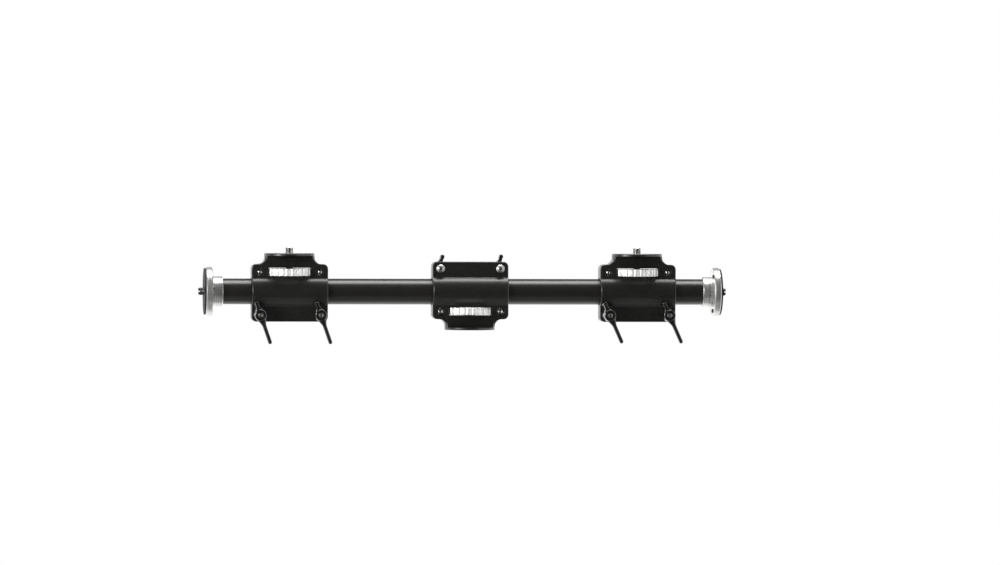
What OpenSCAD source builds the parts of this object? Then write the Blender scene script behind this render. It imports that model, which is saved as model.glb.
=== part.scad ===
/* [Bar] */
// Length of the crossbar from one rubber pad face to the other
bar_len = 640; // [600:1:760]
// Distance of the bar's middle from the centre clamp, along X
bar_shift = -8; // [-15:1:15]
// Outer diameter of the tube
tube_d = 31.75; // [29:0.25:34]
// Wall thickness of the tube
tube_wall = 2; // [1.5:0.1:3]
// Place of the left clamp along the bar
left_x = -223; // [-235:1:-130]
// Place of the right clamp along the bar
right_x = 208; // [130:1:220]

/* [Bar ends] */
// Diameter of the end flanges, which carry a tripod head
end_flange_d = 60; // [54:1:70]
// Thickness of the end flanges
end_flange_t = 8; // [7:0.5:12]
// Wall of the hub round the tube
end_hub_wall = 2.525; // [2.4:0.025:5]
// Length of the hub in front of the flange
end_hub_len = 13; // [10:0.5:20]
// Depth to which the tube enters the flange itself
end_socket_depth = 3; // [1:0.5:4]
// Edge chamfer of the flange and the hub
end_chamfer = 0.9; // [0.3:0.1:1.5]
// How much smaller the rubber pad is than its flange, in diameter
pad_margin = 3; // [1:0.5:5]
// Thickness of the rubber pads
pad_t = 2; // [1:0.5:4]
// Diameter of the screws that lock a head on its pad
lock_screw_d = 5; // [4:0.5:6]
// Distance of the lock screws from the edge of the flange
lock_screw_inset = 5; // [4:0.5:8]
// Number of lock screws in a flange
lock_screw_count = 3; // [2:1:4]
// Turn of the first lock screw from straight down
lock_screw_turn = 21; // [0:1:40]
// Diameter of the grub screw through each hub
grub_d = 5; // [4:0.5:6]

/* [Camera studs] */
// Diameter of every camera stud, three eighths of an inch
stud_d = 9.525; // [8:0.025:10]
// Diameter of the plain shank behind a stud's thread
stud_shank_d = 8.5; // [7:0.1:9]
// Height of a stud above its face
stud_out = 7; // [5:0.5:10]
// Length of plain shank left between the face and the thread
stud_relief = 0.5; // [0.2:0.1:1]
// Chamfer at a stud's tip
stud_chamfer = 1.1; // [0.5:0.1:1.5]
// Length of an end stud behind its flange
stud_tail = 6; // [2:0.5:10]
// Width of the screwdriver slot in an end stud
slot_w = 1.5; // [1:0.1:2]
// Depth of that slot
slot_depth = 2.2; // [1.5:0.1:3]

/* [Clamp body] */
// Width of a clamp along the bar
clamp_w = 94; // [88:1:100]
// Thickness of the clamp above the bar, front to back
web_t = 26; // [23:1:30]
// Thickness of the clamp's jaw below the bar
jaw_t = 22; // [18:1:26]
// Wall of the round boss on the bar
boss_wall = 3.7; // [3:0.1:5]
// Radius of the clamp's outer corners
corner_r = 6; // [3:0.5:8]
// Wall between the bore and the wheel's window
window_floor = 2; // [1.5:0.1:4]
// Width of the window
window_w = 53; // [48:0.5:60]
// Height of the window
window_h = 10.2; // [9.7:0.1:13]
// Thickness of metal from the window to the camera platform's face
deck_t = 17.775; // [16:0.025:20]
// Diameter of the camera platform
deck_d = 62; // [58:1:68]
// Height of the platform's straight rim
rim_t = 3; // [2:0.5:5]
// Height of the shallow cone under the rim
flare_t = 2.2; // [1:0.1:4]
// Radius of the concave neck beside the platform
neck_r = 8; // [6:0.5:9]
// How far the neck stays inside the platform's edge at each end
neck_inset = 0.5; // [0.2:0.1:2]
// Gap between the two jaws below the bar
jaw_gap = 1; // [0.5:0.1:2]
// Thickness of the nylon liner in the bore
liner_t = 1; // [0.8:0.1:2]
// How far the liner stays inside the clamp at each end
liner_inset = 1; // [0.5:0.5:3]
// Width of the slit along the liner
liner_slit = 2; // [1:0.5:4]

/* [Wheel] */
// Diameter of the finger wheel in the window
wheel_d = 55; // [50:0.5:56]
// Thickness of the wheel
wheel_t = 9; // [7:0.1:9.4]
// Gap between the wheel's edge and the round pocket beside the window
pocket_gap = 0.5; // [0.4:0.1:1]
// Number of finger flutes round the wheel
flute_count = 24; // [16:1:30]
// Depth of a flute
flute_depth = 0.9; // [0.4:0.1:1.5]
// Radius of a flute
flute_r = 2; // [1.5:0.1:2.5]
// Outer diameter of the threaded bush in the centre clamp's wheel
bush_d = 14; // [13:0.5:18]
// Radius of the thread in that bush
bush_thread_r = 4.85; // [4.8:0.05:5.1]

/* [Fasteners] */
// Distance of every clamp fastener from the clamp's end
bolt_inset = 10; // [8:0.5:11]
// Distance of the clamp bolts below the bore
bolt_below_bore = 11.475; // [10.5:0.025:14]
// Metal from the clamp bolts to the bottom edge
bolt_edge = 8.5; // [7:0.5:12]
// Diameter of the clamp bolts
bolt_d = 6; // [5:0.5:6]
// Diameter of a clamp bolt's head
bolt_head_d = 10.5; // [9:0.5:13]
// Height of the straight part of that head
bolt_head_t = 1.8; // [1.5:0.1:4]
// Height of the domed part of that head
bolt_dome_t = 1.5; // [1:0.1:2]
// Diameter of the shoulder screws
shoulder_d = 4; // [3:0.5:4]
// Diameter of a shoulder screw's head
shoulder_head_d = 7; // [6:0.5:8]
// Height of that head
shoulder_head_t = 4; // [3:0.5:5]
// Width of a shoulder nut across its corners
nut_d = 8.08; // [7.5:0.02:9]
// Height of a shoulder nut
nut_t = 3.2; // [2.5:0.1:4]
// How deep the shoulder fasteners lie under the surface
recess = 0.4; // [0.1:0.1:1]

/* [Lever] */
// Diameter of a lever's hub at the clamp
hub_d = 16; // [15:0.5:18]
// Diameter of that hub at its outer end
hub_top_d = 14.6; // [13.5:0.1:15]
// Length of a lever's hub
hub_len = 22; // [21.9:0.1:25]
// Distance of the middle of the handle from the clamp's middle plane
handle_y = 30; // [29:0.1:31]
// Length of the handle from the hub's axis to its tip's centre
handle_len = 35.2; // [28:0.1:40]
// Radius of the handle at the hub
handle_root_r = 2.5; // [1.8:0.1:2.6]
// Radius of the handle at the tip
handle_tip_r = 2.4; // [1.5:0.1:2.5]
// Outward incline of the handle, in degrees
handle_incline = 4; // [0:1:6]
// Distance from the hub's axis at which the wedge beside the handle ends
wedge_len = 12.5; // [11:0.5:16]
// Thickness of that wedge
wedge_t = 5.4; // [4.8:0.1:6]
// Length of the short arm opposite the handle
arm_len = 15; // [12:0.1:18]
// Width of the short arm at its waist
arm_w = 4.8; // [4:0.1:7]
// Diameter of the lobe on the short arm
lobe_d = 5.6; // [5:0.1:9]
// Thickness of the short arm
arm_t = 14; // [8:0.5:15]
// Distance of the short arm's inner face from the clamp's middle plane
arm_y = 18.6; // [18.4:0.1:21.5]
// Turn of the left clamp's handles from straight down, towards the right
left_turn = 19; // [0:0.5:40]
// Turn of the right clamp's handles from straight down, towards the right
right_turn = 23.5; // [0:0.5:40]
// Turn of the centre clamp's left handle from straight up, towards the right
centre_turn_a = 20; // [0:0.5:40]
// Turn of the centre clamp's right handle from straight up, towards the right
centre_turn_b = 16; // [0:0.5:40]
// Diameter of the washer under a lever
washer_d = 14; // [13:0.5:16]
// Thickness of that washer
washer_t = 1.2; // [0.8:0.1:1.5]
// Diameter of the collar on a lever's insert
collar_d = 12; // [11:0.5:13]
// Thickness of that collar
collar_t = 5; // [3:0.5:5.5]
// Outer diameter of the insert's splines
spline_d = 10; // [9:0.5:10.5]
// Depth of the splines
spline_depth = 0.8; // [0.5:0.1:1]
// Number of splines
spline_count = 12; // [8:1:16]
// Length of the splines, which a lifted lever leaves
spline_len = 3; // [2:0.1:3]
// Thickness of the ledge in the hub that the spring pushes on
ledge_t = 2.2; // [1.2:0.1:2.5]
// Outer diameter of the return spring
spring_d = 8.8; // [7:0.2:9]
// Wire thickness of the return spring, as the tube that stands for it
spring_wall = 1.4; // [0.8:0.1:1.5]
// Length of the return spring at rest
spring_len = 7.5; // [6:0.1:7.8]
// Diameter of the screw that keeps a lever on its insert
keeper_d = 4; // [3:0.5:4]
// Diameter of that screw's head
keeper_head_d = 8.4; // [7:0.2:9]
// Height of that screw's head
keeper_head_t = 3; // [2:0.1:3]
// Length of that screw's thread in the insert
keeper_grip = 3.5; // [2:0.1:4]

/* [Clearances] */
// Gap of the liner on the tube and in its bore
slide_gap = 0.075; // [0.05:0.005:0.1]
// Gap round a thread or a pressed part
thread_gap = 0.05; // [0.02:0.01:0.1]
// Gap of the tube in the hubs at its ends
seat_gap = 0.1; // [0.05:0.01:0.2]
// Gap between pieces that turn or slide past each other
moving_gap = 0.35; // [0.3:0.05:0.6]
// Gap under and over a wheel's and a lever's flat faces
face_gap = 0.2; // [0.1:0.05:0.3]
// Gap round a screw's shank and head
screw_gap = 0.25; // [0.1:0.05:0.4]

/* [Hidden] */
$fn = 64;
CUT = 1;

// The bore, from the tube outwards
liner_in_r = tube_d / 2 + slide_gap;
liner_out_r = liner_in_r + liner_t;
bore_r = liner_out_r + slide_gap;
boss_r = bore_r + boss_wall;

// Heights above the bar's axis, with the platform upwards
window_z = bore_r + window_floor;
window_top = window_z + window_h;
axis_h = window_top + deck_t;
neck_z = axis_h - rim_t - flare_t;
shoulder_z = neck_z - neck_r;
screw_z = window_z + window_h / 2;
bolt_z = -bore_r - bolt_below_bore;
bottom_z = bolt_z - bolt_edge;
wheel_z = window_z + face_gap;

// Places across the clamp
half_w = clamp_w / 2;
bolt_x = half_w - bolt_inset;
deck_r = deck_d / 2;
neck_x = deck_r - neck_inset;
stud_hole_r = stud_d / 2 + moving_gap;
bush_hole_r = bush_d / 2 + moving_gap;

// Stack of a lever's parts, outwards from the clamp's middle plane
washer_y = jaw_t / 2;
collar_y = washer_y + washer_t;
spline_y = collar_y + collar_t;
insert_end_y = spline_y + spline_len;
hub_y = collar_y + 2 * face_gap;
ledge_y = insert_end_y + 2 * face_gap;
spring_y = ledge_y + ledge_t;
keeper_head_y = spring_y + spring_len;
keeper_end_y = insert_end_y - keeper_grip;
bolt_end_y = keeper_end_y - face_gap;
hub_end_y = hub_y + hub_len;

// The bar and its ends
end_hub_r = tube_d / 2 + seat_gap + end_hub_wall;
flange_r = end_flange_d / 2;
pad_r = flange_r - pad_margin / 2;
end_depth = pad_t + end_flange_t;
lock_screw_r = flange_r - lock_screw_inset;
tube_len = bar_len - 2 * (end_depth - end_socket_depth);
socket_x = end_depth - end_socket_depth;
end_hub_x = end_depth + end_hub_len;
left_end_x = bar_shift - bar_len / 2;
right_end_x = bar_shift + bar_len / 2;

cast_black = [0.13, 0.13, 0.12];
anodised_black = [0.16, 0.16, 0.16];
turned_silver = [0.72, 0.72, 0.7];
zinc = [0.78, 0.78, 0.76];
rubber_black = [0.06, 0.06, 0.06];
nylon_dark = [0.12, 0.12, 0.12];
wheel_silver = [0.86, 0.86, 0.85];

// A ring or tube on +Z
module ring(outer_r, inner_r, height) {
    difference() {
        cylinder(r = outer_r, h = height);
        translate([0, 0, -CUT]) cylinder(r = inner_r, h = height + 2 * CUT);
    }
}

// A star outline with straight flanks, for the splines
function star(count, outer_r, inner_r) = [
    for (i = [0 : 2 * count - 1])
        let (r = i % 2 == 0 ? outer_r : inner_r, a = 180 / count * i)
        [r * cos(a), r * sin(a)]
];

// Frames: an end of the bar with its pad face at the origin and the tube along +Z
module left_end() {
    translate([left_end_x, 0, axis_h]) rotate([0, 90, 0]) children();
}

module right_end() {
    translate([right_end_x, 0, axis_h]) rotate([0, 0, 180]) rotate([0, 90, 0]) children();
}

// Frames: a clamp with the bar's axis along X through the origin, platform up, levers towards -Y
module left() {
    translate([left_x, 0, axis_h]) children();
}

module centre() {
    translate([0, 0, axis_h]) rotate([180, 0, 0]) children();
}

module right() {
    translate([right_x, 0, axis_h]) children();
}

// A frame on a clamp's fastener: +Z points out of the lever side or out of the plain side
module lever_side() {
    rotate([90, 0, 0]) children();
}

module plain_side() {
    rotate([-90, 0, 0]) children();
}

// The same frame at both ends of the clamp
module both_ends(z) {
    for (side = [-1, 1]) translate([side * bolt_x, 0, z]) children();
}

// A frame on one lever, with its handle along -Y of that frame
module at_lever(side, turn) {
    translate([side * bolt_x, 0, bolt_z]) rotate([0, turn, 0]) lever_side() children();
}

// The end pieces, whose grub screw faces the back: its side is 1 on the left end and -1 on the right
module end_flange(grub_side) {
    color(turned_silver)
    difference() {
        rotate_extrude()
            polygon([
                [0, pad_t], [flange_r - end_chamfer, pad_t], [flange_r, pad_t + end_chamfer],
                [flange_r, end_depth - end_chamfer], [flange_r - end_chamfer, end_depth],
                [end_hub_r, end_depth], [end_hub_r, end_hub_x - end_chamfer], [end_hub_r - end_chamfer, end_hub_x],
                [0, end_hub_x]
            ]);
        translate([0, 0, socket_x])
            cylinder(r = tube_d / 2 + seat_gap, h = end_hub_len + end_socket_depth + CUT);
        cylinder(d = stud_shank_d + 2 * thread_gap, h = end_hub_x);
        at_lock_screws() cylinder(d = lock_screw_d + 2 * thread_gap, h = end_hub_x);
        at_grub(grub_side) cylinder(d = grub_d + 2 * thread_gap, h = end_hub_r);
    }
}

module at_lock_screws() {
    for (i = [0 : lock_screw_count - 1])
        rotate([0, 0, lock_screw_turn + i * 360 / lock_screw_count])
            translate([lock_screw_r, 0, 0]) children();
}

module at_grub(grub_side) {
    translate([0, 0, end_depth + end_hub_len / 2]) rotate([-90 * grub_side, 0, 0]) children();
}

module end_pad() {
    color(rubber_black)
    difference() {
        cylinder(r = pad_r, h = pad_t);
        translate([0, 0, -CUT]) cylinder(r = stud_d / 2 + moving_gap, h = pad_t + 2 * CUT);
        at_lock_screws()
            translate([0, 0, -CUT]) cylinder(d = lock_screw_d + 2 * moving_gap, h = pad_t + 2 * CUT);
    }
}

// A stud along +Z: a plain shank of the given length to its face, then the thread with a chamfered tip
module stud(shank_len) {
    thread_z = shank_len + stud_relief;
    tip_z = shank_len + stud_out - stud_chamfer;
    cylinder(d = stud_shank_d, h = thread_z);
    translate([0, 0, thread_z]) cylinder(d = stud_d, h = tip_z - thread_z);
    translate([0, 0, tip_z])
        cylinder(d1 = stud_d, d2 = stud_d - 2 * stud_chamfer, h = stud_chamfer);
}

module end_stud() {
    color(zinc)
    translate([0, 0, socket_x + stud_tail]) rotate([180, 0, 0])
    difference() {
        stud(stud_tail + socket_x);
        translate([-slot_w / 2, -stud_d, stud_tail + socket_x + stud_out - slot_depth])
            cube([slot_w, 2 * stud_d, slot_depth + CUT]);
    }
}

module grub_screw(grub_side) {
    grub_foot = tube_d / 2 + seat_gap;
    grub_len = end_hub_r - grub_foot - face_gap;
    color(anodised_black)
    at_grub(grub_side) translate([0, 0, grub_foot])
    difference() {
        cylinder(d = grub_d, h = grub_len);
        translate([0, 0, grub_len / 2]) cylinder(d = grub_d / 2, h = grub_len, $fn = 6);
    }
}

module lock_screws() {
    lock_len = end_flange_t - 4 * face_gap;
    color(anodised_black)
    at_lock_screws() translate([0, 0, pad_t + 2 * face_gap])
    difference() {
        cylinder(d = lock_screw_d, h = lock_len);
        translate([0, 0, lock_len / 2]) cylinder(d = lock_screw_d / 2, h = lock_len, $fn = 6);
    }
}

// The clamp's outline seen from the front: a rounded plate with a necked top
module clamp_outline() {
    height = shoulder_z - bottom_z;
    difference() {
        union() {
            translate([-half_w + corner_r, bottom_z]) square([clamp_w - 2 * corner_r, height]);
            translate([-half_w, bottom_z + corner_r]) square([clamp_w, height - 2 * corner_r]);
            for (side = [-1, 1], z = [bottom_z + corner_r, shoulder_z - corner_r])
                translate([side * (half_w - corner_r), z]) circle(r = corner_r);
            translate([-neck_x - neck_r, shoulder_z - CUT]) square([2 * (neck_x + neck_r), neck_r + CUT]);
        }
        for (side = [-1, 1]) translate([side * (neck_x + neck_r), neck_z]) circle(r = neck_r);
    }
}

// Both halves of the clamp's casting in one, with no holes
module clamp_block() {
    translate([0, web_t / 2, 0]) rotate([90, 0, 0]) linear_extrude(web_t)
        intersection() {
            clamp_outline();
            translate([-half_w, 0]) square([clamp_w, axis_h]);
        }
    translate([0, jaw_t / 2, 0]) rotate([90, 0, 0]) linear_extrude(jaw_t)
        intersection() {
            clamp_outline();
            translate([-half_w, bottom_z]) square([clamp_w, -bottom_z]);
        }
    translate([-half_w, 0, 0]) rotate([0, 90, 0]) cylinder(r = boss_r, h = clamp_w);
    translate([0, 0, neck_z]) cylinder(r1 = web_t / 2, r2 = deck_r, h = flare_t);
    translate([0, 0, neck_z])
        intersection() {
            translate([-neck_x, -web_t / 2, 0]) cube([2 * neck_x, web_t, flare_t]);
            cylinder(r = deck_r, h = flare_t);
        }
    translate([0, 0, neck_z + flare_t]) cylinder(r = deck_r, h = rim_t);
}

// One half of a clamp: side is -1 for the lever side and 1 for the plain side
module clamp_shell(side, deck_hole_r) {
    reach = axis_h + clamp_w;
    color(cast_black)
    difference() {
        intersection() {
            clamp_block();
            translate([-reach, side < 0 ? -2 * reach : 0, -reach]) cube(2 * reach);
        }
        translate([-reach, 0, 0]) rotate([0, 90, 0]) cylinder(r = bore_r, h = 2 * reach);
        translate([-reach, -jaw_gap / 2, -reach]) cube([2 * reach, jaw_gap, reach]);
        translate([-window_w / 2, -reach, window_z]) cube([window_w, 2 * reach, window_h]);
        translate([0, 0, window_z]) cylinder(r = wheel_d / 2 + pocket_gap, h = window_h);
        cylinder(r = deck_hole_r, h = reach);
        both_ends(bolt_z) rotate([90, 0, 0])
            cylinder(d = bolt_d + 2 * screw_gap, h = 2 * reach, center = true);
        both_ends(screw_z) rotate([90, 0, 0])
            cylinder(d = shoulder_d + 2 * screw_gap, h = 2 * reach, center = true);
        both_ends(screw_z) lever_side()
            translate([0, 0, web_t / 2 - recess - shoulder_head_t])
                cylinder(d = shoulder_head_d + 2 * screw_gap, h = reach);
        both_ends(screw_z) plain_side()
            translate([0, 0, web_t / 2 - recess - nut_t])
                cylinder(d = nut_d + 2 * screw_gap, h = reach);
    }
}

module liner() {
    length = clamp_w - 2 * liner_inset;
    color(nylon_dark)
    difference() {
        translate([-length / 2, 0, 0]) rotate([0, 90, 0]) ring(liner_out_r, liner_in_r, length);
        translate([-length, -liner_slit / 2, -2 * liner_out_r])
            cube([2 * length, liner_slit, 2 * liner_out_r]);
    }
}

module wheel(hole_r) {
    wheel_r = wheel_d / 2;
    color(wheel_silver)
    translate([0, 0, wheel_z])
    difference() {
        cylinder(r = wheel_r, h = wheel_t);
        translate([0, 0, -CUT]) cylinder(r = hole_r, h = wheel_t + 2 * CUT);
        for (i = [0 : flute_count - 1]) rotate([0, 0, i * 360 / flute_count])
            translate([wheel_r - flute_depth + flute_r, 0, -CUT])
                cylinder(r = flute_r, h = wheel_t + 2 * CUT, $fn = 24);
    }
}

module camera_stud() {
    color(zinc)
    translate([0, 0, wheel_z]) stud(axis_h - wheel_z);
}

module thread_bush() {
    color(wheel_silver)
    translate([0, 0, wheel_z]) ring(bush_d / 2, bush_thread_r, axis_h - wheel_z);
}

module shoulder_screws() {
    head_y = web_t / 2 - recess - shoulder_head_t;
    color(zinc)
    both_ends(screw_z) {
        lever_side() translate([0, 0, head_y])
        difference() {
            cylinder(d = shoulder_head_d, h = shoulder_head_t);
            translate([0, 0, shoulder_head_t / 2])
                cylinder(d = shoulder_head_d / 2, h = shoulder_head_t, $fn = 6);
        }
        plain_side() translate([0, 0, -head_y])
            cylinder(d = shoulder_d, h = head_y + web_t / 2 - 2 * recess);
    }
}

module shoulder_nuts() {
    color(zinc)
    both_ends(screw_z) plain_side() translate([0, 0, web_t / 2 - recess - nut_t])
    difference() {
        cylinder(d = nut_d, h = nut_t, $fn = 6);
        translate([0, 0, -CUT]) cylinder(d = shoulder_d + 2 * thread_gap, h = nut_t + 2 * CUT);
    }
}

module clamp_bolts() {
    color(zinc)
    both_ends(bolt_z) plain_side() {
        translate([0, 0, -bolt_end_y]) cylinder(d = bolt_d, h = bolt_end_y + jaw_t / 2);
        translate([0, 0, jaw_t / 2])
        difference() {
            union() {
                cylinder(d = bolt_head_d, h = bolt_head_t);
                translate([0, 0, bolt_head_t])
                    cylinder(d1 = bolt_head_d, d2 = bolt_head_d * 0.7, h = bolt_dome_t);
            }
            translate([0, 0, bolt_head_t / 2])
                cylinder(d = bolt_d * 0.8, h = bolt_head_t + bolt_dome_t, $fn = 6);
        }
    }
}

module lever_washers() {
    color(zinc)
    both_ends(bolt_z) lever_side() translate([0, 0, washer_y])
        ring(washer_d / 2, bolt_d / 2 + screw_gap, washer_t);
}

// The lever's parts, outwards along +Z from the clamp's middle plane
module lever() {
    color(cast_black)
    difference() {
        union() {
            translate([0, 0, hub_y]) cylinder(d1 = hub_d, d2 = hub_top_d, h = hub_len);
            translate([0, 0, handle_y - wedge_t / 2]) linear_extrude(wedge_t)
                polygon([
                    [-hub_d * 0.42, -hub_d * 0.22], [-handle_root_r, -wedge_len],
                    [handle_root_r, -wedge_len], [hub_d * 0.42, -hub_d * 0.22]
                ]);
            translate([0, 0, arm_y]) linear_extrude(arm_t) {
                polygon([
                    [-hub_d * 0.4, 0], [hub_d * 0.4, 0], [arm_w / 2, arm_len * 0.6],
                    [arm_w / 2, arm_len], [-arm_w / 2, arm_len], [-arm_w / 2, arm_len * 0.6]
                ]);
                translate([0, arm_len]) circle(d = lobe_d);
            }
            translate([0, 0, handle_y]) rotate([90 - handle_incline, 0, 0]) {
                cylinder(r1 = handle_root_r, r2 = handle_tip_r, h = handle_len);
                translate([0, 0, handle_len]) sphere(r = handle_tip_r);
            }
        }
        translate([0, 0, hub_y - CUT])
            cylinder(d = collar_d + 2 * moving_gap, h = spline_y + 2 * face_gap - hub_y + CUT);
        translate([0, 0, hub_y])
            linear_extrude(ledge_y - hub_y)
                polygon(star(spline_count, spline_d / 2 + moving_gap,
                    spline_d / 2 - spline_depth + moving_gap));
        cylinder(d = keeper_d + 2 * moving_gap, h = hub_end_y + CUT);
        translate([0, 0, spring_y])
            cylinder(d = keeper_head_d + 2 * moving_gap, h = hub_end_y - spring_y + CUT);
    }
}

module insert() {
    color(zinc)
    difference() {
        union() {
            translate([0, 0, collar_y]) cylinder(d = collar_d, h = collar_t);
            translate([0, 0, collar_y])
                linear_extrude(insert_end_y - collar_y)
                    polygon(star(spline_count, spline_d / 2, spline_d / 2 - spline_depth));
        }
        translate([0, 0, collar_y - CUT])
            cylinder(d = bolt_d + 2 * thread_gap, h = keeper_end_y - collar_y + CUT);
        cylinder(d = keeper_d + 2 * thread_gap, h = insert_end_y + CUT);
    }
}

module spring() {
    color(zinc)
    translate([0, 0, spring_y]) ring(spring_d / 2, spring_d / 2 - spring_wall, spring_len);
}

module keeper() {
    color(zinc)
    difference() {
        union() {
            translate([0, 0, keeper_end_y]) cylinder(d = keeper_d, h = keeper_head_y - keeper_end_y);
            translate([0, 0, keeper_head_y]) cylinder(d = keeper_head_d, h = keeper_head_t);
        }
        translate([0, 0, keeper_head_y + keeper_head_t / 2])
            cylinder(d = keeper_d, h = keeper_head_t, $fn = 6);
    }
}

// Nodes of the bar
module tube() {
    color(anodised_black)
    translate([bar_shift - tube_len / 2, 0, axis_h]) rotate([0, 90, 0])
        ring(tube_d / 2, tube_d / 2 - tube_wall, tube_len);
}
module left_end_flange() { left_end() end_flange(1); }
module right_end_flange() { right_end() end_flange(-1); }
module left_end_pad() { left_end() end_pad(); }
module right_end_pad() { right_end() end_pad(); }
module left_end_stud() { left_end() end_stud(); }
module right_end_stud() { right_end() end_stud(); }
module hub_grub_screws() {
    left_end() grub_screw(1);
    right_end() grub_screw(-1);
}
module head_lock_screws() {
    left_end() lock_screws();
    right_end() lock_screws();
}

// Nodes of the left clamp
module left_lever_shell() { left() clamp_shell(-1, stud_hole_r); }
module left_plain_shell() { left() clamp_shell(1, stud_hole_r); }
module left_liner() { left() liner(); }
module left_wheel() { left() wheel(stud_shank_d / 2 + thread_gap); }
module left_camera_stud() { left() camera_stud(); }
module left_shoulder_screws() { left() shoulder_screws(); }
module left_shoulder_nuts() { left() shoulder_nuts(); }
module left_clamp_bolts() { left() clamp_bolts(); }
module left_lever_washers() { left() lever_washers(); }
module left_lever_a() { left() at_lever(-1, -left_turn) lever(); }
module left_insert_a() { left() at_lever(-1, -left_turn) insert(); }
module left_spring_a() { left() at_lever(-1, -left_turn) spring(); }
module left_keeper_a() { left() at_lever(-1, -left_turn) keeper(); }
module left_lever_b() { left() at_lever(1, -left_turn) lever(); }
module left_insert_b() { left() at_lever(1, -left_turn) insert(); }
module left_spring_b() { left() at_lever(1, -left_turn) spring(); }
module left_keeper_b() { left() at_lever(1, -left_turn) keeper(); }

// Nodes of the centre clamp
module centre_lever_shell() { centre() clamp_shell(-1, bush_hole_r); }
module centre_plain_shell() { centre() clamp_shell(1, bush_hole_r); }
module centre_liner() { centre() liner(); }
module centre_wheel() { centre() wheel(bush_d / 2 + thread_gap); }
module centre_bush() { centre() thread_bush(); }
module centre_shoulder_screws() { centre() shoulder_screws(); }
module centre_shoulder_nuts() { centre() shoulder_nuts(); }
module centre_clamp_bolts() { centre() clamp_bolts(); }
module centre_lever_washers() { centre() lever_washers(); }
module centre_lever_a() { centre() at_lever(-1, 180 - centre_turn_a) lever(); }
module centre_insert_a() { centre() at_lever(-1, 180 - centre_turn_a) insert(); }
module centre_spring_a() { centre() at_lever(-1, 180 - centre_turn_a) spring(); }
module centre_keeper_a() { centre() at_lever(-1, 180 - centre_turn_a) keeper(); }
module centre_lever_b() { centre() at_lever(1, 180 - centre_turn_b) lever(); }
module centre_insert_b() { centre() at_lever(1, 180 - centre_turn_b) insert(); }
module centre_spring_b() { centre() at_lever(1, 180 - centre_turn_b) spring(); }
module centre_keeper_b() { centre() at_lever(1, 180 - centre_turn_b) keeper(); }

// Nodes of the right clamp
module right_lever_shell() { right() clamp_shell(-1, stud_hole_r); }
module right_plain_shell() { right() clamp_shell(1, stud_hole_r); }
module right_liner() { right() liner(); }
module right_wheel() { right() wheel(stud_shank_d / 2 + thread_gap); }
module right_camera_stud() { right() camera_stud(); }
module right_shoulder_screws() { right() shoulder_screws(); }
module right_shoulder_nuts() { right() shoulder_nuts(); }
module right_clamp_bolts() { right() clamp_bolts(); }
module right_lever_washers() { right() lever_washers(); }
module right_lever_a() { right() at_lever(-1, -right_turn) lever(); }
module right_insert_a() { right() at_lever(-1, -right_turn) insert(); }
module right_spring_a() { right() at_lever(-1, -right_turn) spring(); }
module right_keeper_a() { right() at_lever(-1, -right_turn) keeper(); }
module right_lever_b() { right() at_lever(1, -right_turn) lever(); }
module right_insert_b() { right() at_lever(1, -right_turn) insert(); }
module right_spring_b() { right() at_lever(1, -right_turn) spring(); }
module right_keeper_b() { right() at_lever(1, -right_turn) keeper(); }

tube();
left_end_flange();
right_end_flange();
left_end_pad();
right_end_pad();
left_end_stud();
right_end_stud();
hub_grub_screws();
head_lock_screws();
left_lever_shell();
left_plain_shell();
left_liner();
left_wheel();
left_camera_stud();
left_shoulder_screws();
left_shoulder_nuts();
left_clamp_bolts();
left_lever_washers();
left_lever_a();
left_insert_a();
left_spring_a();
left_keeper_a();
left_lever_b();
left_insert_b();
left_spring_b();
left_keeper_b();
centre_lever_shell();
centre_plain_shell();
centre_liner();
centre_wheel();
centre_bush();
centre_shoulder_screws();
centre_shoulder_nuts();
centre_clamp_bolts();
centre_lever_washers();
centre_lever_a();
centre_insert_a();
centre_spring_a();
centre_keeper_a();
centre_lever_b();
centre_insert_b();
centre_spring_b();
centre_keeper_b();
right_lever_shell();
right_plain_shell();
right_liner();
right_wheel();
right_camera_stud();
right_shoulder_screws();
right_shoulder_nuts();
right_clamp_bolts();
right_lever_washers();
right_lever_a();
right_insert_a();
right_spring_a();
right_keeper_a();
right_lever_b();
right_insert_b();
right_spring_b();
right_keeper_b();
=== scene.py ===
# %% [markdown]
# # A tripod crossbar, dressed in Blender
# A crossbar carries cameras side by side. A black tube runs through three lever clamps, and a
# turned flange with a stud closes each end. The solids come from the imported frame. This script
# gives them their finishes. It builds the pieces again whose plain solids would look too simple,
# with rounded castings, real threads and sockets.

# %% Load the frame
import math

import bmesh
import bpy
import numpy as np
from mathutils import Matrix, Vector


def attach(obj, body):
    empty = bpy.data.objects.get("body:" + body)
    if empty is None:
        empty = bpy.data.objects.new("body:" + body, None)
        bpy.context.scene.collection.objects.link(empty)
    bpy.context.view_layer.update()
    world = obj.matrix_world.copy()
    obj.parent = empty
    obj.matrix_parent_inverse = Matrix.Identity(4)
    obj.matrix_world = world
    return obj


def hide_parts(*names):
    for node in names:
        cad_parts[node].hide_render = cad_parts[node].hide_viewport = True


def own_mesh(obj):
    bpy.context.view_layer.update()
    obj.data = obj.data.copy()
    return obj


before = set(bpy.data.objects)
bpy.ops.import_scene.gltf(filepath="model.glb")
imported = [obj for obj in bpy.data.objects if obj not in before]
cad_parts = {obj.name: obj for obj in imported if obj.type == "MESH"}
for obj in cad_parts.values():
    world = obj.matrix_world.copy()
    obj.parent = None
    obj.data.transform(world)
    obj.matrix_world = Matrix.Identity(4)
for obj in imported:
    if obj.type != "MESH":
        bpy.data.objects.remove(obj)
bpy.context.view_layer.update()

# %% [markdown]
# ## Sizes
# The lengths are those of the solids, in millimetres, because a maker reads them that way. They are
# turned into metres once, when a mesh is made. These are the places that several pieces share.
# Every other size stands beside the piece that it shapes.

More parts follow.
